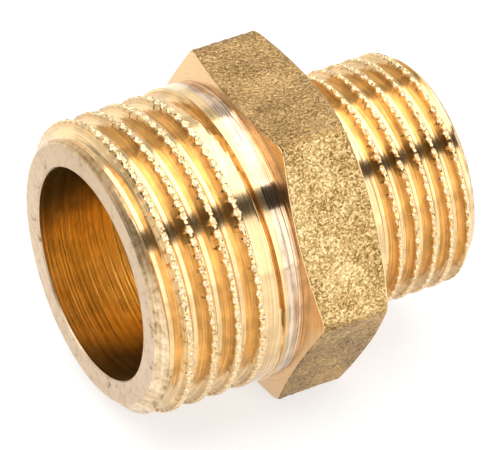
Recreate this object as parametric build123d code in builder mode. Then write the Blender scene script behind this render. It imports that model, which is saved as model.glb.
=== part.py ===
from build123d import *
import os
from math import radians, sqrt, tan

# Reducing hex nipple, one brass forging with a G 1/2 and a G 3/8 male pipe thread.
# Row frame: +X is the flow axis from the large end to the small end, the nipple lies
# on one flat of its hexagon, and the origin is under the middle of it, on that flat.
# Stations are distances along the flow axis from the large end face, in millimetres.

INCH = 25.4

# Overall
total_length = 25.8
across_flats = 22.0
hex_corner_radius = 1.1

# G 1/2 thread, ISO 228: the crest station is where a crest passes the top of the part
large_major_r = 20.955 / 2
large_pitch = INCH / 14
large_crest_station = 1.66
large_groove_start = -1.85
large_groove_turns = 5.77
large_notches = 69

# G 3/8 thread, ISO 228
small_major_r = 16.662 / 2
small_pitch = INCH / 19
small_crest_station = 19.13
small_groove_start = -0.35
small_groove_turns = 7.0
small_notches = 55

# Whitworth form, with its tips and roots cut flat, in parts of the pitch
depth_share = 0.640327
root_share = 1 / 6
flank_half_angle = 27.5

# Knurl across the crests, which keeps hemp from slipping
notch_half_width = 0.16
notch_depth = 0.2

# Lead-in chamfers on the ends, from the flat face's edge to the crest
large_face_r = 9.2
large_chamfer_length = 1.2
small_face_r = 7.3
small_chamfer_length = 1.05

# Plain neck between the large thread and the hexagon, and where the small thread begins
neck_start = 8.75
neck_groove_station = 9.85
neck_groove_depth = 0.12
neck_groove_half_width = 0.14
small_thread_start = 17.4

# Hexagon, whose end faces are turned to shallow cones that bevel the corners
hex_front = 10.62
hex_back = 16.7
seat_r = 10.5
front_bevel = 14.7
back_bevel = 19.9

# Waterway: drilled from the large end, then a smaller through hole
large_bore_r = 7.55
small_bore_r = 5.9
bore_step_start = 12.6
bore_step_angle = 60.0

axis_height = across_flats / 2
end_face = Plane(origin=(-total_length / 2, 0, axis_height), x_dir=(0, 1, 0), z_dir=(1, 0, 0))
side = Plane(origin=(-total_length / 2, 0, axis_height), x_dir=(1, 0, 0), z_dir=(0, -1, 0))
flow_axis = Axis((0, 0, axis_height), (1, 0, 0))
bore_step_end = bore_step_start + (large_bore_r - small_bore_r) / tan(radians(bore_step_angle))

os.makedirs("parts", exist_ok=True)


def turned(points, mode=Mode.ADD):
    """Revolve an outline of (station, radius) points about the flow axis."""
    with BuildSketch(side) as outline:
        Polygon(*points, align=None)
    revolve(outline.sketch, axis=flow_axis, mode=mode)


def cylinder(start, end, radius):
    """A round blank between two stations."""
    with BuildSketch(end_face.offset(start)) as section:
        Circle(radius)
    extrude(section.sketch, amount=end - start)


def waterway():
    """Take out the stepped bore, over whichever stretch of it the piece holds."""
    turned(
        [
            (-1, 0),
            (-1, large_bore_r),
            (bore_step_start, large_bore_r),
            (bore_step_end, small_bore_r),
            (total_length + 1, small_bore_r),
            (total_length + 1, 0),
        ],
        Mode.SUBTRACT,
    )


def thread_groove(crest_station, first_turn, turns, radius, pitch, run_out):
    """Cut a right-hand groove beside the crest that passes the top at crest_station.

    It starts first_turn turns along from there, and leaves the metal along a tangent,
    at its start where run_out is -1 and at its end where run_out is 1.
    """
    depth = depth_share * pitch
    root_half = root_share * pitch / 2
    mouth_half = pitch * 0.46
    above = (mouth_half - root_half) / tan(radians(flank_half_angle)) - depth
    helix = Helix(
        pitch=pitch,
        height=turns * pitch,
        radius=radius,
        center=end_face.offset(crest_station + (first_turn - 0.5) * pitch).origin,
        direction=(1, 0, 0),
        mode=Mode.PRIVATE,
    )
    path = helix.rotate(flow_axis, 360 * first_turn)
    for where in (0, (run_out + 1) / 2):
        point = path @ where
        outward = point - Vector(point.X, 0, axis_height)
        with BuildSketch(Plane(point, x_dir=outward, z_dir=path % where)) as profile:
            Polygon(
                (-depth, -root_half),
                (above, -mouth_half),
                (above, mouth_half),
                (-depth, root_half),
                align=None,
            )
        if where == 0:
            sweep(profile.sketch, path=path, is_frenet=True, mode=Mode.SUBTRACT)
    run_out_length = sqrt((radius + above) ** 2 - (radius - depth) ** 2)
    extrude(profile.sketch, amount=run_out * run_out_length, mode=Mode.SUBTRACT)


def knurl(start, end, radius, count):
    """Straight V notches across the crests, all round."""
    with BuildSketch(end_face.offset(start)) as section:
        with PolarLocations(radius, count, start_angle=180 / count):
            Polygon(
                (-notch_depth, 0),
                (notch_depth, -2 * notch_half_width),
                (notch_depth, 2 * notch_half_width),
                align=None,
            )
    extrude(section.sketch, amount=end - start, mode=Mode.SUBTRACT)


# Threaded large end, cut on a blank that is already bored
with BuildPart() as large_thread:
    turned(
        [
            (0, large_bore_r),
            (neck_start, large_bore_r),
            (neck_start, large_major_r),
            (0, large_major_r),
        ]
    )
    thread_groove(
        large_crest_station,
        large_groove_start,
        large_groove_turns,
        large_major_r,
        large_pitch,
        1,
    )
    turned(
        [
            (0, 0),
            (0, large_face_r),
            (large_chamfer_length, large_major_r),
            (neck_start, large_major_r),
            (neck_start, 0),
        ],
        Mode.INTERSECT,
    )
    knurl(0, neck_start, large_major_r, large_notches)
large_thread.part.label = "large_thread"
export_step(large_thread.part, "parts/large_thread.step")

# Plain neck with one shallow turned groove
with BuildPart() as neck:
    turned(
        [
            (neck_start, 0),
            (neck_start, large_major_r),
            (neck_groove_station - neck_groove_half_width, large_major_r),
            (neck_groove_station, large_major_r - neck_groove_depth),
            (neck_groove_station + neck_groove_half_width, large_major_r),
            (hex_front, large_major_r),
            (hex_front, 0),
        ]
    )
    waterway()
neck.part.label = "neck"
export_step(neck.part, "parts/neck.step")

# Hexagon for the wrench, with the plain start of the small end
with BuildPart() as hex_collar:
    with BuildSketch(end_face.offset(hex_front)) as hexagon:
        RegularPolygon(across_flats / 2, 6, major_radius=False)
        fillet(hexagon.vertices(), hex_corner_radius)
    extrude(hexagon.sketch, amount=hex_back - hex_front)
    front_rise = (across_flats - seat_r) * tan(radians(front_bevel))
    back_rise = (across_flats - seat_r) * tan(radians(back_bevel))
    turned(
        [
            (hex_front, 0),
            (hex_front, seat_r),
            (hex_front + front_rise, across_flats),
            (hex_back - back_rise, across_flats),
            (hex_back, seat_r),
            (hex_back, 0),
        ],
        Mode.INTERSECT,
    )
    cylinder(hex_back, small_thread_start, small_major_r)
    waterway()
hex_collar.part.label = "hex_collar"
export_step(hex_collar.part, "parts/hex_collar.step")

# Threaded small end, cut from a blank two pitches too long and then faced off
with BuildPart() as small_thread:
    cylinder(small_thread_start, total_length + 2 * small_pitch, small_major_r)
    thread_groove(
        small_crest_station,
        small_groove_start,
        small_groove_turns,
        small_major_r,
        small_pitch,
        -1,
    )
    turned(
        [
            (small_thread_start, 0),
            (small_thread_start, small_major_r),
            (total_length - small_chamfer_length, small_major_r),
            (total_length, small_face_r),
            (total_length, 0),
        ],
        Mode.INTERSECT,
    )
    waterway()
    knurl(small_thread_start, total_length, small_major_r, small_notches)
small_thread.part.label = "small_thread"
export_step(small_thread.part, "parts/small_thread.step")
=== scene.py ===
from math import atan2, cos, pi, radians, sin, tan

import bmesh
import bpy
import numpy as np
from mathutils import Matrix, Quaternion, Vector


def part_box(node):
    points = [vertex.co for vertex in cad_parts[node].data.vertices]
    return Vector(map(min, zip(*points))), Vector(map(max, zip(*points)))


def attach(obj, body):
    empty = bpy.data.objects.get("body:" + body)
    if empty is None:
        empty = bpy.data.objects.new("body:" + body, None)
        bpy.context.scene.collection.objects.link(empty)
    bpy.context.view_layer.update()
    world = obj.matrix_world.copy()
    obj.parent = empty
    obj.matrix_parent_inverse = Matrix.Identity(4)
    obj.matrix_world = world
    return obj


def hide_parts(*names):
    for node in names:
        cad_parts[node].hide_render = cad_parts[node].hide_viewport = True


# Reducing hex nipple in brass. Stations are distances in millimetres along the flow
# axis from the large end face; angles go round that axis, in degrees, with 0 at +Y and
# 90 at the top. Meshes are built in metres, in the row frame.

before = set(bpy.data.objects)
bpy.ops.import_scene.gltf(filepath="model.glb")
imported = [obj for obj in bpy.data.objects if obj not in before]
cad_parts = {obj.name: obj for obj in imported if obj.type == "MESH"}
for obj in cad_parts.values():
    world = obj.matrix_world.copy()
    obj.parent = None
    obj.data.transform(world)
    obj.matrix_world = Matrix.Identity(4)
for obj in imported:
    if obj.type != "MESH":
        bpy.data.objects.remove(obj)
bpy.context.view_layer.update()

MM = 0.001
LARGE_END_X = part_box("large_thread")[0].x
AXIS_Z = (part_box("hex_collar")[0].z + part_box("hex_collar")[1].z) / 2
TOTAL_LENGTH = (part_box("small_thread")[1].x - LARGE_END_X) / MM

# Camera: angles in degrees, distances in millimetres, a lens for a 36 mm sensor
CAMERA_AZIMUTH = -29.69
CAMERA_ELEVATION = 38.88
CAMERA_ROLL = 1.0
CAMERA_DISTANCE = 442
CAMERA_TARGET = (-0.56, -0.02, 10.63)
CAMERA_LENS = 467.5

# Lengths of the visual pieces. The large thread's runs on over the neck, so that its
# run-out isn't cut by a seam
NECK_START = 9.45
SMALL_START = 17.4

# Thread form, in parts of the pitch: a crest's half width and the depth of the flat root
FLANK_SLOPE = 1 / tan(radians(27.5))
CREST_SHARE = 0.0834
DEPTH_SHARE = 0.60
ROOT_SOFTNESS = 0.03

# Run-out of the large thread: the groove's width after this many turns, then the plain
# land beside it and the slightly larger band of the neck
RUN_OUT_TURNS = [3.167, 3.235, 3.29, 3.33, 3.48, 3.51, 3.64]
RUN_OUT_WIDTHS = [1.512, 0.93, 0.55, 0.33, 0.33, 0.20, 0.0]
LAND_DELAY = 0.02
LAND_R = 10.44
BAND_R = 10.53
BAND_TURN = 3.917
BAND_TRAVEL = 2.95

# Start of the small thread: the groove's share of its full width after this many turns
RUN_IN_TURNS = [-1.35, -1.05, -0.75]
RUN_IN_SHARES = [0.0, 0.25, 1.0]

# Rows of a thread's mesh to either side of a crest, in millimetres at this pitch, and
# its columns, in notch spacings from the middle of a notch
CREST_ROWS = [0.075, 0.15, 0.2, 0.26, 0.33, 0.43, 0.56, 0.69, 0.75]
CREST_ROWS_PITCH = 1.8143
NOTCH_COLUMNS = [-0.5, -0.35, -0.27, -0.19, -0.11, -0.035, 0.035, 0.11, 0.19, 0.27, 0.35]

# Burr at a knurl notch, in millimetres. A spread or a shift is the most that its seeds add
BURR_HALF_LENGTH = 0.25
BURR_LENGTH_SPREAD = 0.07
BURR_HALF_WIDTH = 0.21
BURR_WIDTH_SPREAD = 0.08
BURR_OUTLINE = 1.5
BURR_AHEAD = 0.05
SHIFT_ROUND = 0.08
SHIFT_ALONG = 0.06
BURR_BELOW_CREST = 0.01
BURR_FALL = 0.09
GRIT_HEIGHT = 0.05
GRIT_SIZE = 0.11

# Pit in a burr's middle and the one behind it, in millimetres
PIT_DEPTH = 0.11
PIT_R = 0.11
REAR_PIT_OFFSET = 0.36
REAR_PIT_DEPTH = 0.10
REAR_PIT_SPREAD = 0.12
REAR_PIT_R = 0.15

# Waterway: its two bores and the step between them, the soft edge of each mouth and
# where the plain bore begins behind it, and the drill's marks
LARGE_BORE_R = 7.55
SMALL_BORE_R = 5.9
STEP_START = 12.6
STEP_END = 13.553
MOUTH_EDGE = 0.12
MOUTH_LENGTH = 0.3
BORE_MARKS = 0.003
MARKS_PER_MM = 5

# Chamfer: how far past its length its finish may reach, and how near its cone that is
CHAMFER_PAST = 0.1
CHAMFER_NEAR = 0.02

# End faces: rings as shares of the way in, and dents wherever the noise is above a level
FACE_RINGS = [0, 0.06, 0.16, 0.3, 0.45, 0.6, 0.75, 0.88, 0.95, 1.0]
LAST_DENTED = 0.88
DENT_DEPTH = 0.03
DENT_SIZE = 0.55
DENT_LEVEL = 0.45

# Neck: a turned groove and a fainter line, as stations round the axis, and a slight taper
GROOVE_ANGLES = [0, 105, 131, 160, 189, 360]
GROOVE_STATIONS = [9.8, 9.83, 9.92, 9.88, 9.86, 9.8]
GROOVE_DEPTH = 0.025
GROOVE_HALF_WIDTH = 0.03
LINE_ANGLES = [0, 157, 194, 360]
LINE_STATIONS = [10.3, 10.34, 10.24, 10.3]
LINE_DEPTH = 0.02
LINE_HALF_WIDTH = 0.05
TAPER_START = 9.9
TAPER_LENGTH = 0.7
TAPER_DEPTH = 0.04

# Hexagon, whose flats lie a little under its outline and round off at their edges. Each
# layer of grain has a height, a size and a shift to a place of its own in the noise
HEX_FRONT = 10.62
HEX_BACK = 16.7
HEX_APOTHEM = 11.0
HEX_CORNER_R = 1.1
SEAT_R = 10.5
SEAT_STEP = 0.02
FRONT_BEVEL = tan(radians(14.7))
BACK_BEVEL = tan(radians(19.9))
HEX_COLUMNS = 690
FLAT_ROWS = 52
FLAT_SINK = 0.05
EDGE_ROUNDING = 0.10
EDGE_SHARE = 0.03
GRAIN_EDGE_SHARE = 0.04
GRAIN_LAYERS = [(0.022, 0.30, 0), (0.03, 0.17, 7), (0.05, 2.4, 3)]
CONE_MARKS = 0.006

# Mesh closing: points nearer than this are one, in metres; open rims further apart than
# this are a mouth's, in millimetres; edges sharper than this stay sharp
SAME_POINT = 2e-7
MOUTH_GAP = 0.05
CREASE = radians(32)

# Finishes, as the order of each piece's materials, and the forged ones round the flats
TURNED, FACED, SCRATCHED, BORED, BURRED, FORGED, FORGED_SHADED_BELOW, FORGED_SHADED_TOP = range(8)
# Painted shade: the top flat and the two flats below take darker copies of the forged finish
FLAT_FINISHES = [FORGED, FORGED_SHADED_TOP, FORGED, FORGED_SHADED_BELOW, FORGED_SHADED_BELOW, FORGED]

WHITE = (1, 1, 1)

# The noise is drawn first, then the large thread's seeds and then the small one's
NOISE_CELLS = 48
rng = np.random.default_rng(1907)
NOISE_TABLE = rng.random((NOISE_CELLS, NOISE_CELLS, NOISE_CELLS))


def place(station, radius, angle):
    """Points in the row frame, in metres, from stations, radii and angles in degrees."""
    a = np.radians(angle)
    x = LARGE_END_X + station * MM
    y = radius * np.cos(a) * MM
    z = AXIS_Z + radius * np.sin(a) * MM
    return np.stack(np.broadcast_arrays(x, y, z), axis=-1)


def noise(points, size):
    """Smooth seeded noise from -1 to 1, over cells of this size."""
    scaled = points / size
    cell = np.floor(scaled).astype(int)
    t = scaled - cell
    t = t * t * (3 - 2 * t)
    total = np.zeros(points.shape[:-1])
    for corner in np.ndindex(2, 2, 2):
        near = [(cell[..., k] + corner[k]) % NOISE_CELLS for k in range(3)]
        share = np.ones_like(total)
        for k in range(3):
            share = share * (t[..., k] if corner[k] else 1 - t[..., k])
        total += share * NOISE_TABLE[near[0], near[1], near[2]]
    return 2 * total - 1


def tool_marks(places):
    """Seeded marks from -1 to 1, as a tool leaves them at these places along its feed."""
    return noise(np.stack([places * MARKS_PER_MM, places * 0, places * 0], -1), 1.0)


def even_angles(columns):
    """Columns evenly round the axis."""
    return np.arange(columns) * 360 / columns


class Thread:
    """A threaded end: its helix, its lead-in chamfer and its knurl with seeded burrs.

    A turn is a place along the thread in pitches, and the crests are at whole turns. The
    crest of turn 0 passes angle 0 at crest_station. Burrs have the size of burr_size.
    """

    def __init__(
        self,
        major_r,
        pitch,
        crest_station,
        face_station,
        face_r,
        chamfer_length,
        first_knurled,
        last_knurled,
        notches,
        seed_rows,
        burr_size,
    ):
        self.major_r = major_r
        self.pitch = pitch
        self.crest_station = crest_station
        self.face_station = face_station
        self.face_r = face_r
        self.chamfer_length = chamfer_length
        self.first_knurled = first_knurled
        self.last_knurled = last_knurled
        self.notches = notches
        self.seeds = rng.random((seed_rows, notches, 4))
        self.burr_size = burr_size

    def turn(self, station, angle):
        return (station - self.crest_station) / self.pitch - angle / 360

    def from_face(self, station):
        return np.abs(station - self.face_station)

    def chamfer_r(self, station):
        rise = (self.major_r - self.face_r) * self.from_face(station)
        return self.face_r + rise / self.chamfer_length

    def is_knurled(self, station, angle):
        crest = np.round(self.turn(station, angle))
        return (crest >= self.first_knurled) & (crest <= self.last_knurled)

    def notch_frame(self, station, angle):
        """Places round and along the nearest notch, in millimetres from its burr's middle.

        With them go how far out of the burr they are, 1 at its rim, and its strength.
        """
        turn = self.turn(station, angle)
        phase = angle * self.notches / 360
        notch = np.floor(phase).astype(int) % self.notches
        crest = np.round(turn)
        row = np.clip(crest.astype(int) + 1, 0, self.seeds.shape[0] - 1)
        strength, along, across, lean = np.moveaxis(self.seeds[row, notch], -1, 0)
        arc = 2 * pi * self.major_r / self.notches
        x = (phase - np.floor(phase) - 0.5) * arc - SHIFT_ROUND * (along - 0.5)
        u = (turn - crest) * self.pitch + BURR_AHEAD + SHIFT_ALONG * (across - 0.5)
        length = self.burr_size * (BURR_HALF_LENGTH + BURR_LENGTH_SPREAD * lean)
        width = self.burr_size * (BURR_HALF_WIDTH + BURR_WIDTH_SPREAD * strength)
        reach = (np.abs(x) / length) ** BURR_OUTLINE + (np.abs(u) / width) ** BURR_OUTLINE
        return x, u, reach, strength

    def knurl(self, radius, station, angle):
        """Raises a rough burr at every notch, with a pit in it and one behind it."""
        x, u, reach, strength = self.notch_frame(station, angle)
        grit = noise(place(station, self.major_r, angle) / MM, GRIT_SIZE)
        burr = self.major_r - BURR_BELOW_CREST - BURR_FALL * reach + GRIT_HEIGHT * grit
        raised = np.where(reach < 1, burr, radius)
        middle = PIT_DEPTH * np.clip(1 - np.hypot(x, u) / PIT_R, 0, None)
        rear_depth = REAR_PIT_DEPTH + REAR_PIT_SPREAD * strength
        rear_reach = np.hypot(x - REAR_PIT_OFFSET, u) / REAR_PIT_R
        return raised - middle - rear_depth * np.clip(1 - rear_reach, 0, None)

    def worked(self, radius, station, angle):
        """The radius of a cut thread once it is knurled and chamfered."""
        knurled = self.is_knurled(station, angle)
        radius = np.where(knurled, self.knurl(radius, station, angle), radius)
        return np.minimum(radius, self.chamfer_r(station))

    def finish_at(self, station, radius, angle):
        """The chamfer is scratched and dull, the burrs are rough, the rest is bright."""
        burr = (self.notch_frame(station, angle)[2] < 1) & self.is_knurled(station, angle)
        near_face = self.from_face(station) < self.chamfer_length + CHAMFER_PAST
        chamfer = near_face & (radius > self.chamfer_r(station) - CHAMFER_NEAR)
        return np.where(chamfer, SCRATCHED, np.where(burr, BURRED, TURNED))


LARGE = Thread(
    major_r=10.4775,
    pitch=25.4 / 14,
    crest_station=1.2095,
    face_station=0,
    face_r=9.2,
    chamfer_length=1.2,
    first_knurled=-1,
    last_knurled=3,
    notches=69,
    seed_rows=7,
    burr_size=1.0,
)
SMALL = Thread(
    major_r=8.331,
    pitch=25.4 / 19,
    crest_station=18.7925,
    face_station=TOTAL_LENGTH,
    face_r=7.3,
    chamfer_length=1.05,
    first_knurled=0,
    last_knurled=6,
    notches=55,
    seed_rows=8,
    burr_size=0.75,
)


def groove_depth(from_edge, width, pitch):
    """Depth of a 55 degree groove with a flat root, this far in from one top edge."""
    depth = np.clip(np.minimum(from_edge, width - from_edge), 0, None) * FLANK_SLOPE
    full = DEPTH_SHARE * pitch
    soft = ROOT_SOFTNESS * pitch
    eased = (depth + full - np.sqrt((depth - full) ** 2 + soft ** 2)) / 2
    return np.clip(eased, 0, None)


def large_radius(station, angle):
    """Radius of the large end's outside: chamfer, thread, run-out and the land beside it."""
    turn = LARGE.turn(station, angle)
    groove = np.floor(turn)
    from_wall = (groove + 1 - turn) * LARGE.pitch - CREST_SHARE * LARGE.pitch
    travelled = groove + angle / 360
    width = np.interp(travelled, RUN_OUT_TURNS, RUN_OUT_WIDTHS)
    radius = LARGE.major_r - groove_depth(from_wall, width, LARGE.pitch)
    narrowing = travelled > RUN_OUT_TURNS[0] + LAND_DELAY
    land = narrowing & (from_wall > width) & (turn - groove > CREST_SHARE)
    radius = np.where(land, LAND_R, radius)
    band = (turn > BAND_TURN) & (travelled > BAND_TRAVEL)
    radius = np.where(band, BAND_R, radius)
    return LARGE.worked(radius, station, angle)


def small_radius(station, angle):
    """Radius of the small end's outside: plain start, thread and chamfer."""
    turn = SMALL.turn(station, angle)
    groove = np.floor(turn)
    from_wall = (groove + 1 - turn) * SMALL.pitch - CREST_SHARE * SMALL.pitch
    full = SMALL.pitch * (1 - 2 * CREST_SHARE)
    width = full * np.interp(groove + angle / 360, RUN_IN_TURNS, RUN_IN_SHARES)
    radius = SMALL.major_r - groove_depth(full - from_wall, width, SMALL.pitch)
    return SMALL.worked(radius, station, angle)


def waterway_r(station):
    """Radius of the stepped bore."""
    return np.interp(station, [STEP_START, STEP_END], [LARGE_BORE_R, SMALL_BORE_R])


def grid_faces(rows, columns):
    """Quads of a grid whose columns close on themselves."""
    k, j = np.meshgrid(np.arange(rows - 1), np.arange(columns), indexing="ij")
    after = (j + 1) % columns
    quads = np.stack(
        [k * columns + j, k * columns + after, (k + 1) * columns + after, (k + 1) * columns + j],
        axis=-1,
    )
    return quads.reshape(-1, 4).tolist()


def turned_skin(stations, radii, angles, finish=TURNED):
    """A skin through rings; stations and radii are arrays of rings by columns."""
    rows, columns = np.broadcast_shapes(stations.shape, radii.shape, (1, len(angles)))
    return place(stations, radii, angles), grid_faces(rows, columns), finish


def notch_angles(count):
    """Columns round a thread, closer together at each knurl notch."""
    return ((np.arange(count)[:, None] + 0.5 + np.array(NOTCH_COLUMNS)) * 360 / count).ravel()


def helical_skin(thread, start, stop, angles, radius_at):
    """A skin of rows that follow a thread's helix, trimmed flat at start and stop."""
    near = np.array(CREST_ROWS) / CREST_ROWS_PITCH
    offsets = np.sort(np.concatenate([[0, 0.5], near, -near]))
    per_turn = len(offsets)
    first = int(np.floor((start - thread.crest_station) / thread.pitch)) - 2
    last = int(np.ceil((stop - thread.crest_station) / thread.pitch)) + 1
    turns = (np.arange(first, last + 1)[:, None] + offsets).ravel()
    stations = thread.crest_station + thread.pitch * (turns[:, None] + angles / 360)
    lowest = (stations <= start).sum(axis=0) - 1
    highest = len(turns) - (stations >= stop).sum(axis=0)
    stations = np.clip(stations, start, stop)
    radii = radius_at(stations, angles)
    finish = thread.finish_at(stations, radii, angles).ravel()
    rows, columns = stations.shape

    def vertex(row, column):
        """The point of a row and column; past the last column, a row is one turn on."""
        wraps = column == columns
        column = np.where(wraps, 0, column)
        row = np.where(wraps, row + per_turn, row)
        row = np.clip(row, lowest[column], highest[column])
        return row * columns + column

    k, j = np.meshgrid(np.arange(rows - 1), np.arange(columns), indexing="ij")
    corners = [vertex(k, j), vertex(k, j + 1), vertex(k + 1, j + 1), vertex(k + 1, j)]
    quads = np.stack(corners, axis=-1).reshape(-1, 4).tolist()
    faces = [face for face in map(without_repeats, quads) if len(face) > 2]
    return place(stations, radii, angles), faces, finish[[face[0] for face in faces]]


def without_repeats(quad):
    """A quad's different corners: three or two of them where it meets a trimmed end."""
    return tuple(dict.fromkeys(quad))


def bore_skin(start, stop, ring_gap, columns):
    """The inside of the waterway over one stretch, with the drill's feed marks."""
    angles = even_angles(columns)
    stations = np.linspace(start, stop, int((stop - start) / ring_gap) + 2)[:, None]
    marks = BORE_MARKS * tool_marks(stations)
    marks[0] = 0
    marks[-1] = 0
    radii = waterway_r(stations) + marks + 0 * angles
    return turned_skin(stations + 0 * radii, radii, angles, BORED)


def end_face_skin(thread, bore_r, angles, inward):
    """A thread's flat end face down to its bore, with a soft inner edge and small dents."""
    inwards = np.array(FACE_RINGS)[:, None]
    radii = thread.face_r + (bore_r - thread.face_r) * inwards + 0 * angles
    stations = np.full_like(radii, thread.face_station)
    dents = np.clip(noise(place(stations, radii, angles) / MM, DENT_SIZE) - DENT_LEVEL, 0, None)
    off_edges = (inwards > 0) & (inwards <= LAST_DENTED)
    stations = stations + inward * DENT_DEPTH * dents * off_edges
    stations[-1] += inward * MOUTH_EDGE
    return turned_skin(stations, radii, angles, FACED)


def angle_of(point):
    """A mesh point's angle round the flow axis."""
    return atan2(point.co.z - AXIS_Z, point.co.y)


def open_rings(work):
    """The points along each open rim of a mesh, in order round the axis and then along it."""
    left = {edge.index: edge for edge in work.edges if edge.is_boundary}
    rings = []
    while left:
        rim = [left.pop(min(left))]
        for edge in rim:
            for other in edge.verts[0].link_edges[:] + edge.verts[1].link_edges[:]:
                if other.index in left:
                    rim.append(left.pop(other.index))
        points = {vert for edge in rim for vert in edge.verts}
        rings.append(sorted(points, key=angle_of))
    return sorted(rings, key=lambda ring: ring[0].co.x)


def close_rings(work):
    """Joins the open rims in pairs with triangles: a bore to its mouth, a skin to its bore."""
    rings = open_rings(work)
    for pair in zip(rings[::2], rings[1::2]):
        is_mouth = pair[1][0].co.x - pair[0][0].co.x > MOUTH_GAP * MM
        finish = BORED if is_mouth else TURNED
        passed = [pair[0][-1], pair[1][-1]]
        order = [(angle_of(point), side, point) for side in (0, 1) for point in pair[side]]
        for _, side, point in sorted(order, key=lambda entry: entry[:2]):
            work.faces.new((passed[0], passed[1], point)).material_index = finish
            passed[side] = point


def mesh_object(name, parts):
    """One closed object from parts, each (points, faces, the finish of every face)."""
    points = np.concatenate([part[0].reshape(-1, 3) for part in parts])
    faces = []
    finishes = []
    start = 0
    for part_points, part_faces, finish in parts:
        faces += [[start + i for i in face] for face in part_faces]
        finishes += list(np.broadcast_to(finish, len(part_faces)))
        start += part_points.reshape(-1, 3).shape[0]
    mesh = bpy.data.meshes.new(name)
    mesh.from_pydata(points.tolist(), [], faces)
    mesh.polygons.foreach_set("material_index", np.array(finishes, np.int32))
    work = bmesh.new()
    work.from_mesh(mesh)
    bmesh.ops.remove_doubles(work, verts=work.verts, dist=SAME_POINT)
    work.edges.index_update()
    close_rings(work)
    bmesh.ops.recalc_face_normals(work, faces=work.faces)
    work.to_mesh(mesh)
    work.free()
    mesh.shade_smooth()
    mesh.set_sharp_from_angle(angle=CREASE)
    piece = bpy.data.objects.new(name, mesh)
    bpy.context.scene.collection.objects.link(piece)
    return piece


def build_large_thread():
    """The threaded large end, as far as the end of its run-out on the neck."""
    angles = notch_angles(LARGE.notches)
    outside = helical_skin(LARGE, 0, NECK_START, angles, large_radius)
    face = end_face_skin(LARGE, LARGE_BORE_R, angles, 1)
    bore = bore_skin(MOUTH_LENGTH, NECK_START, 0.3, 207)
    return mesh_object("large_thread_visual", [outside, face, bore])


def build_small_thread():
    """The threaded small end."""
    angles = notch_angles(SMALL.notches)
    outside = helical_skin(SMALL, SMALL_START, TOTAL_LENGTH, angles, small_radius)
    face = end_face_skin(SMALL, SMALL_BORE_R, angles, -1)
    bore = bore_skin(SMALL_START, TOTAL_LENGTH - MOUTH_LENGTH, 0.2, 220)
    return mesh_object("small_thread_visual", [outside, face, bore])


def build_neck():
    """The plain neck, with rings close together at its turned groove and its line."""
    angles = even_angles(414)
    stations = np.concatenate(
        [
            np.linspace(NECK_START, 9.7, 6),
            np.linspace(9.74, 10.1, 19),
            np.linspace(10.14, 10.5, 12),
            [10.53, 10.56, 10.59, HEX_FRONT],
        ]
    )[:, None]
    groove = np.interp(angles, GROOVE_ANGLES, GROOVE_STATIONS)
    line = np.interp(angles, LINE_ANGLES, LINE_STATIONS)
    from_groove = np.abs(stations - groove) / GROOVE_HALF_WIDTH
    from_line = np.abs(stations - line) / LINE_HALF_WIDTH
    radii = BAND_R - GROOVE_DEPTH * np.clip(1 - from_groove, 0, 1)
    radii = radii - LINE_DEPTH * np.clip(1 - from_line, 0, 1)
    radii = radii - TAPER_DEPTH * np.clip((stations - TAPER_START) / TAPER_LENGTH, 0, 1)
    outside = turned_skin(stations + 0 * radii, radii, angles)
    bore = bore_skin(NECK_START, HEX_FRONT, 0.1, 276)
    return mesh_object("neck_visual", [outside, bore])


def hex_radius(angles):
    """Radius of the hexagon's outline, with its rounded corners."""
    off_corner = np.abs((angles + 30) % 60 - 30)
    a = np.radians(30 - off_corner)
    flat = HEX_APOTHEM / np.cos(a)
    centre = (HEX_APOTHEM - HEX_CORNER_R) / cos(pi / 6)
    b = np.radians(off_corner)
    inside = HEX_CORNER_R ** 2 - (centre * np.sin(b)) ** 2
    corner = centre * np.cos(b) + np.sqrt(np.clip(inside, 0, None))
    along_flat = flat * np.sin(a)
    half = (HEX_APOTHEM - HEX_CORNER_R) * tan(pi / 6)
    return np.where(np.abs(along_flat) < half, flat, corner)


def hex_flats(front, back, rim, angles):
    """The forged flats between their two edges: fine grain over a slow unevenness."""
    t = np.linspace(0, 1, FLAT_ROWS)[:, None]
    stations = front + (back - front) * t
    at = place(stations, rim, angles) / MM
    grain = sum(height * noise(at + shift, size) for height, size, shift in GRAIN_LAYERS)
    from_edge = np.minimum(t, 1 - t)
    grain = grain * np.clip(from_edge / GRAIN_EDGE_SHARE, 0, 1)
    rounding = EDGE_ROUNDING * (1 - np.clip(from_edge / EDGE_SHARE, 0, 1)) ** 2
    column_turn = 360 / HEX_COLUMNS
    flat = np.floor(((angles + column_turn / 2) % 360) / 60).astype(int)
    finish = np.tile(np.array(FLAT_FINISHES)[flat], FLAT_ROWS - 1)
    return turned_skin(stations, rim + grain - FLAT_SINK - rounding, angles, finish)


def hex_end(station, edge, rim, slope, inner_r, angles):
    """An end of the hexagon: its turned cone, and the lip that joins it to the flats."""
    lip = rim - (FLAT_SINK + EDGE_ROUNDING)
    radii = lip + (inner_r - lip) * np.linspace(0, 1, 14)[:, None]
    stations = station + (radii - SEAT_R) * slope + CONE_MARKS * tool_marks(radii)
    stations[-1] = station
    cone = turned_skin(stations, radii, angles)
    join = turned_skin(np.stack([edge, stations[0]]), np.stack([lip, lip]), angles)
    return cone, join


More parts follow.
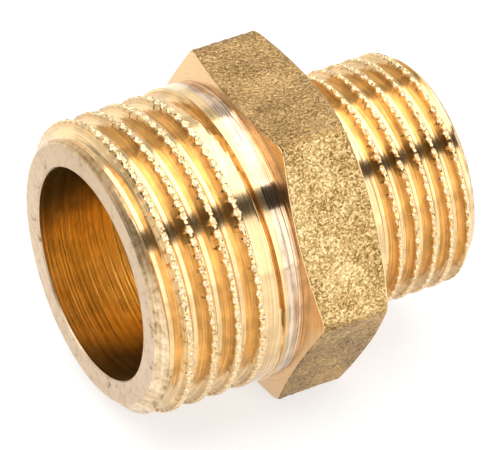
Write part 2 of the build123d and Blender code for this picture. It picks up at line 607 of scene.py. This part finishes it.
def build_hex():
    """The hexagon, with the waterway's step in it and the plain start of the small end."""
    angles = even_angles(HEX_COLUMNS)
    rim = hex_radius(angles)
    front = HEX_FRONT + (rim - SEAT_R) * FRONT_BEVEL
    back = HEX_BACK - (rim - SEAT_R) * BACK_BEVEL
    flats = hex_flats(front, back, rim, angles)
    inner_r = SEAT_R - SEAT_STEP
    front_cone, front_join = hex_end(HEX_FRONT, front, rim, FRONT_BEVEL, inner_r, angles)
    back_cone, back_join = hex_end(HEX_BACK, back, rim, -BACK_BEVEL, SEAT_R, angles)
    shoulder_r = np.linspace(SEAT_R, SMALL.major_r, 10)[:, None] + 0 * rim
    shoulder = turned_skin(np.full_like(shoulder_r, HEX_BACK), shoulder_r, angles)
    boss_s = np.linspace(HEX_BACK, SMALL_START, 8)[:, None] + 0 * rim
    boss = turned_skin(boss_s, SMALL.major_r + 0 * boss_s, angles)
    bore = bore_skin(HEX_FRONT, SMALL_START, 0.2, 276)
    parts = [flats, front_cone, back_cone, shoulder, boss, bore, front_join, back_join]
    return mesh_object("hex_collar_visual", parts)


class Nodes:
    """A short way to write a material's node tree."""

    def __init__(self, name):
        self.material = bpy.data.materials.new(name)
        self.material.use_nodes = True
        self.tree = self.material.node_tree
        self.tree.nodes.clear()

    def add(self, kind, inputs=None, **settings):
        """A node; each input is a value, or the output that is linked to it."""
        node = self.tree.nodes.new(kind)
        for key, value in settings.items():
            setattr(node, key, value)
        for key, value in (inputs or {}).items():
            if isinstance(value, bpy.types.NodeSocket):
                self.tree.links.new(value, node.inputs[key])
            else:
                node.inputs[key].default_value = value
        return node

    def math(self, operation, first, second=0.0):
        return self.add("ShaderNodeMath", {0: first, 1: second}, operation=operation).outputs[0]

    def tinted(self, colour, tint):
        inputs = {0: colour, 1: tint}
        return self.add("ShaderNodeVectorMath", inputs, operation="MULTIPLY").outputs[0]

    def noise(self, vector, scale, detail):
        inputs = {"Vector": vector, "Scale": scale, "Detail": detail}
        return self.add("ShaderNodeTexNoise", inputs).outputs["Fac"]

    def height(self, at):
        return self.add("ShaderNodeSeparateXYZ", {0: at}).outputs["Z"]

    def ramp(self, value, stops):
        """A colour ramp through (position, colour) stops."""
        node = self.add("ShaderNodeValToRGB", {"Fac": value})
        ramp = node.color_ramp
        while len(ramp.elements) < len(stops):
            ramp.elements.new(0.5)
        for element, (position, colour) in zip(ramp.elements, stops):
            element.position = position
            element.color = (*colour, 1)
        return node.outputs["Color"]

    def metal(self, tone, roughness, bump, bump_height):
        """The finished material, a metal whose bumps have this height in metres."""
        inputs = {"Strength": 1.0, "Distance": bump_height, "Height": bump}
        normal = self.add("ShaderNodeBump", inputs).outputs["Normal"]
        inputs = {"Base Color": tone, "Metallic": 1.0, "Roughness": roughness, "Normal": normal}
        return self.finish(self.add("ShaderNodeBsdfPrincipled", inputs))

    def finish(self, shader):
        self.add("ShaderNodeOutputMaterial", {"Surface": shader.outputs[0]})
        return self.material


def object_place(nodes):
    """Each point's place in the piece, which is its place in the row frame."""
    return nodes.add("ShaderNodeTexCoord").outputs["Object"]


def lathe_place(nodes, at):
    """Station and radius with a slow drift, so that patterns run round the axis as streaks."""
    split = nodes.add("ShaderNodeSeparateXYZ", {0: at})
    height = nodes.math("SUBTRACT", split.outputs["Z"], AXIS_Z)
    across = nodes.math("POWER", split.outputs["Y"], 2.0)
    up = nodes.math("POWER", height, 2.0)
    radius = nodes.math("SQRT", nodes.math("ADD", across, up))
    drift = nodes.math("MULTIPLY", nodes.math("ADD", split.outputs["Y"], height), 0.014)
    inputs = {0: split.outputs["X"], 1: radius, 2: drift}
    return nodes.add("ShaderNodeCombineXYZ", inputs).outputs[0]


def flank_painted_shade(nodes, rings, crest_r):
    """Painted shade: browner on a thread's flanks just below its crest, clear on the crest and the
    root.
    """
    radius = nodes.add("ShaderNodeSeparateXYZ", {0: rings}).outputs["Y"]
    below = nodes.math("DIVIDE", nodes.math("SUBTRACT", crest_r * MM, radius), 1.2 * MM)
    brown = (0.74, 0.66, 0.54)
    return nodes.ramp(below, [(0.0, WHITE), (0.06, WHITE), (0.12, brown), (0.5, WHITE)])


def turned_finish(name, base, roughness, line_height, line_scale, shade, spread, crest_r=None):
    """Bright machined brass with fine tool lines round the axis, some of them darker.

    The dark lines are base times shade. A thread also gives the radius of its crests, for the
    painted shade below them.
    """
    nodes = Nodes(name)
    at = object_place(nodes)
    rings = lathe_place(nodes, at)
    lines = nodes.noise(rings, line_scale, 3.0)
    cloud = nodes.noise(at, 700.0, 5.0)
    mixed = nodes.math("ADD", nodes.math("MULTIPLY", lines, 1.4), cloud)
    dark = [c * shade for c in base]
    stops = [(0.49 - spread, dark), (0.49 + spread, base)]
    tone = nodes.ramp(nodes.math("DIVIDE", mixed, 2.4), stops)
    # A thread gets painted shade on its flanks below the crests
    if crest_r:
        tone = nodes.tinted(tone, flank_painted_shade(nodes, rings, crest_r))
    return nodes.metal(tone, roughness, lines, line_height)


def faced_finish(name, stops, bump_height, streak, painted_top_shade):
    """Faced-off and handled brass: dull, clouded, with dark specks and dents.

    Painted shade darkens the upper half of the part, fully at the top, by the colour given for it.
    """
    nodes = Nodes(name)
    at = object_place(nodes)
    cloud = nodes.noise(at, 650.0, 9.0)
    specks = nodes.noise(at, 2300.0, 4.0)
    lines = nodes.noise(lathe_place(nodes, at), 7000.0, 3.0)
    spotted = nodes.math("MULTIPLY", cloud, specks)
    streaks = nodes.math("MULTIPLY", nodes.math("SUBTRACT", lines, 0.5), streak)
    clean = nodes.ramp(nodes.math("ADD", spotted, streaks), stops)
    # Painted shade: the tone darkens from the axis up to the top of the part
    above_axis = nodes.math("SUBTRACT", nodes.height(at), AXIS_Z)
    upper_share = nodes.math("DIVIDE", above_axis, 10 * MM)
    tone = nodes.tinted(clean, nodes.ramp(upper_share, [(0.0, WHITE), (0.95, painted_top_shade)]))
    rough = nodes.math("ADD", cloud, nodes.math("MULTIPLY", lines, 0.4))
    return nodes.metal(tone, 0.32, rough, bump_height)


def forged_finish(name, stops, roughness):
    """Blasted forging skin: small bright and dark facets over slow stains."""
    nodes = Nodes(name)
    at = object_place(nodes)
    cells = nodes.add("ShaderNodeTexVoronoi", {"Vector": at, "Scale": 9000.0})
    facets = nodes.add("ShaderNodeSeparateColor", {"Color": cells.outputs["Color"]}).outputs
    stains = nodes.noise(at, 380.0, 7.0)
    grain = nodes.noise(at, 5200.0, 3.0)
    level = nodes.math("ADD", facets[0], nodes.math("MULTIPLY", stains, 1.4))
    level = nodes.math("ADD", level, grain)
    tone = nodes.ramp(nodes.math("DIVIDE", level, 3.4), stops)
    rough = nodes.math("ADD", grain, nodes.math("MULTIPLY", facets[1], 0.25))
    return nodes.metal(tone, roughness, rough, 1.1e-4)


def thread_brass(name, crest_r):
    """Bright cut threads, with painted shade that browns the flanks below the crests."""
    return turned_finish(
        name,
        base=(0.91, 0.64, 0.33),
        roughness=0.16,
        line_height=7e-6,
        line_scale=8000.0,
        shade=0.72,
        spread=0.06,
        crest_r=crest_r,
    )


def plain_brass():
    """The cones, the seat and the plain start of the small end."""
    return turned_finish(
        "plain_brass",
        base=(0.80, 0.51, 0.25),
        roughness=0.17,
        line_height=3e-6,
        line_scale=16000.0,
        shade=0.90,
        spread=0.07,
    )


def neck_brass():
    """The neck, pale and glossy with strong lines."""
    return turned_finish(
        "neck_brass",
        base=(0.80, 0.61, 0.43),
        roughness=0.09,
        line_height=1.3e-5,
        line_scale=8000.0,
        shade=0.58,
        spread=0.05,
    )


def bored_brass():
    """The waterway, deep gold with coarse lines."""
    return turned_finish(
        "bored_brass",
        base=(1.0, 0.74, 0.34),
        roughness=0.18,
        line_height=2.6e-5,
        line_scale=6000.0,
        shade=0.74,
        spread=0.03,
    )


def faced_brass():
    """The flat end faces, creamy."""
    return faced_finish(
        "faced_brass",
        stops=[(0.13, (0.30, 0.18, 0.08)), (0.165, (0.57, 0.41, 0.265)), (0.29, (0.66, 0.50, 0.34))],
        bump_height=2e-5,
        streak=0.04,
        # Painted shade over the upper half of the end faces
        painted_top_shade=(0.82, 0.77, 0.68),
    )


def scratched_brass():
    """The lead-in chamfers, with scratches round the axis."""
    return faced_finish(
        "scratched_brass",
        stops=[(0.09, (0.34, 0.21, 0.10)), (0.20, (0.66, 0.48, 0.28)), (0.36, (0.88, 0.70, 0.48))],
        bump_height=3e-5,
        streak=0.35,
        # Painted shade over the upper half of the chamfers
        painted_top_shade=(0.86, 0.76, 0.62),
    )


def burred_brass():
    """The burrs of the knurl, pale."""
    return forged_finish(
        "burred_brass",
        stops=[(0.30, (0.50, 0.30, 0.10)), (0.45, (0.88, 0.68, 0.40)), (0.72, (1.0, 0.90, 0.68))],
        roughness=0.3,
    )


def forged_brass():
    """The golden flats."""
    return forged_finish(
        "forged_brass",
        stops=[(0.32, (0.18, 0.10, 0.03)), (0.50, (0.55, 0.35, 0.125)), (0.68, (0.90, 0.72, 0.40))],
        roughness=0.34,
    )


def forged_brass_shaded_below():
    """The flats below, darkened to umber: painted shade."""
    return forged_finish(
        "forged_brass_shaded_below",
        stops=[(0.32, (0.12, 0.06, 0.02)), (0.50, (0.38, 0.23, 0.075)), (0.70, (0.70, 0.46, 0.17))],
        roughness=0.4,
    )


def forged_brass_shaded_top():
    """The flat on top, greyer and darker: painted shade."""
    return forged_finish(
        "forged_brass_shaded_top",
        stops=[(0.32, (0.18, 0.10, 0.035)), (0.50, (0.39, 0.24, 0.09)), (0.70, (0.66, 0.44, 0.20))],
        roughness=0.4,
    )


def floor_paper():
    """Pale paper, lit a little by itself so that it stays near white."""
    nodes = Nodes("floor_paper")
    shader = nodes.add(
        "ShaderNodeBsdfPrincipled",
        {
            "Base Color": (0.4, 0.4, 0.4, 1),
            "Roughness": 1.0,
            "Specular IOR Level": 0.0,
            "Emission Color": (1, 1, 1, 1),
            "Emission Strength": 0.66,
        },
    )
    return nodes.finish(shader)


def add_floor():
    """A square sheet of paper, eight metres wide."""
    half = 4.0
    corners = [(-half, -half, 0), (half, -half, 0), (half, half, 0), (-half, half, 0)]
    mesh = bpy.data.meshes.new("floor")
    mesh.from_pydata(corners, [], [(0, 1, 2, 3)])
    floor = bpy.data.objects.new("floor", mesh)
    bpy.context.scene.collection.objects.link(floor)
    floor.data.materials.append(floor_paper())


def soft_box(name, width, height, radiance):
    """A rectangular light of this size in metres, whose brightness its size doesn't change."""
    light = bpy.data.lights.new(name, "AREA")
    light.shape = "RECTANGLE"
    light.size = width
    light.size_y = height
    light.energy = radiance * pi * width * height
    lamp = bpy.data.objects.new(name, light)
    bpy.context.scene.collection.objects.link(lamp)
    return lamp


def add_panel(name, first, last, left, right, radiance):
    """A flat soft box a metre from the flow axis, between two angles round it.

    It runs along the axis from left to right, in metres from the nipple.
    """
    middle = radians((first + last) / 2)
    lamp = soft_box(name, right - left, 2 * tan(radians(last - first) / 2), radiance)
    outward = Vector((0, cos(middle), sin(middle)))
    along = Vector((1, 0, 0))
    lamp.location = outward + Vector(((left + right) / 2, 0, AXIS_Z))
    lamp.rotation_euler = Matrix((along, outward.cross(along), outward)).transposed().to_euler()


def add_wall(name, place_at, width, height, radiance):
    """A soft box at a point of the studio, in metres, turned to the nipple."""
    lamp = soft_box(name, width, height, radiance)
    lamp.location = place_at
    lamp.rotation_mode = "QUATERNION"
    lamp.rotation_quaternion = Vector(place_at).to_track_quat("Z", "Y")


def add_lights():
    """Panels above, in front and behind, whose gaps make the dark bands on the brass."""
    add_panel("top_panel", 52, 116, -0.9, 0.75, 2.65)
    add_panel("top_panel_left", 52, 116, -1.7, -0.91, 1.0)
    add_panel("top_panel_far", 52, 108, 0.76, 3.0, 1.35)
    add_panel("front_panel", 135, 179.5, -0.5, 0.75, 1.9)
    add_panel("front_panel_far", 141, 179.5, 0.76, 3.0, 1.55)
    add_panel("back_panel", 1, 38, -0.75, 3.0, 1.0)
    add_panel("back_panel_left", 1, 38, -1.8, -0.76, 0.5)
    add_panel("back_panel_dim", 38.5, 51, -1.5, 0.64, 0.58)
    add_panel("back_panel_far", 38.5, 51.5, 0.65, 3.0, 1.0)
    add_wall("end_panel", (1.3, 0, 0.36), 1.6, 0.7, 1.1)
    add_wall("left_panel", (-1.0, -0.8, 0.30), 1.2, 0.55, 0.9)


def add_world():
    """A dim warm surround, for what the panels leave out."""
    world = bpy.data.worlds.new("studio")
    bpy.context.scene.world = world
    world.use_nodes = True
    background = world.node_tree.nodes["Background"]
    background.inputs["Color"].default_value = (0.5, 0.45, 0.38, 1)
    background.inputs["Strength"].default_value = 0.12


def add_camera():
    """A long lens at the photograph's angle."""
    data = bpy.data.cameras.new("camera")
    data.sensor_width = 36
    data.lens = CAMERA_LENS
    data.clip_start = 0.01
    data.clip_end = 20
    camera = bpy.data.objects.new("camera", data)
    a = radians(CAMERA_AZIMUTH)
    e = radians(CAMERA_ELEVATION)
    back = Vector((sin(a) * cos(e), -cos(a) * cos(e), sin(e)))
    camera.location = (Vector(CAMERA_TARGET) + back * CAMERA_DISTANCE) * MM
    camera.rotation_mode = "QUATERNION"
    roll = Quaternion((0, 0, 1), radians(CAMERA_ROLL))
    camera.rotation_quaternion = back.to_track_quat("Z", "Y") @ roll
    bpy.context.scene.collection.objects.link(camera)
    bpy.context.scene.camera = camera


def dress(piece, finishes, node):
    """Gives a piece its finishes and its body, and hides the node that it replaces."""
    for material in finishes:
        piece.data.materials.append(material)
    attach(piece, "root")
    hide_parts(node)


def add_nipple():
    """The four lengths, each with its own turned brass and then the finishes they share."""
    shared = [
        faced_brass(),
        scratched_brass(),
        bored_brass(),
        burred_brass(),
        forged_brass(),
        forged_brass_shaded_below(),
        forged_brass_shaded_top(),
    ]
    large_brass = thread_brass("large_brass", LARGE.major_r)
    small_brass = thread_brass("small_brass", SMALL.major_r)
    dress(build_large_thread(), [large_brass] + shared, "large_thread")
    dress(build_neck(), [neck_brass()] + shared, "neck")
    dress(build_hex(), [plain_brass()] + shared, "hex_collar")
    dress(build_small_thread(), [small_brass] + shared, "small_thread")


add_camera()
add_floor()
add_lights()
add_world()
add_nipple()
bpy.context.scene.view_settings.view_transform = "Standard"
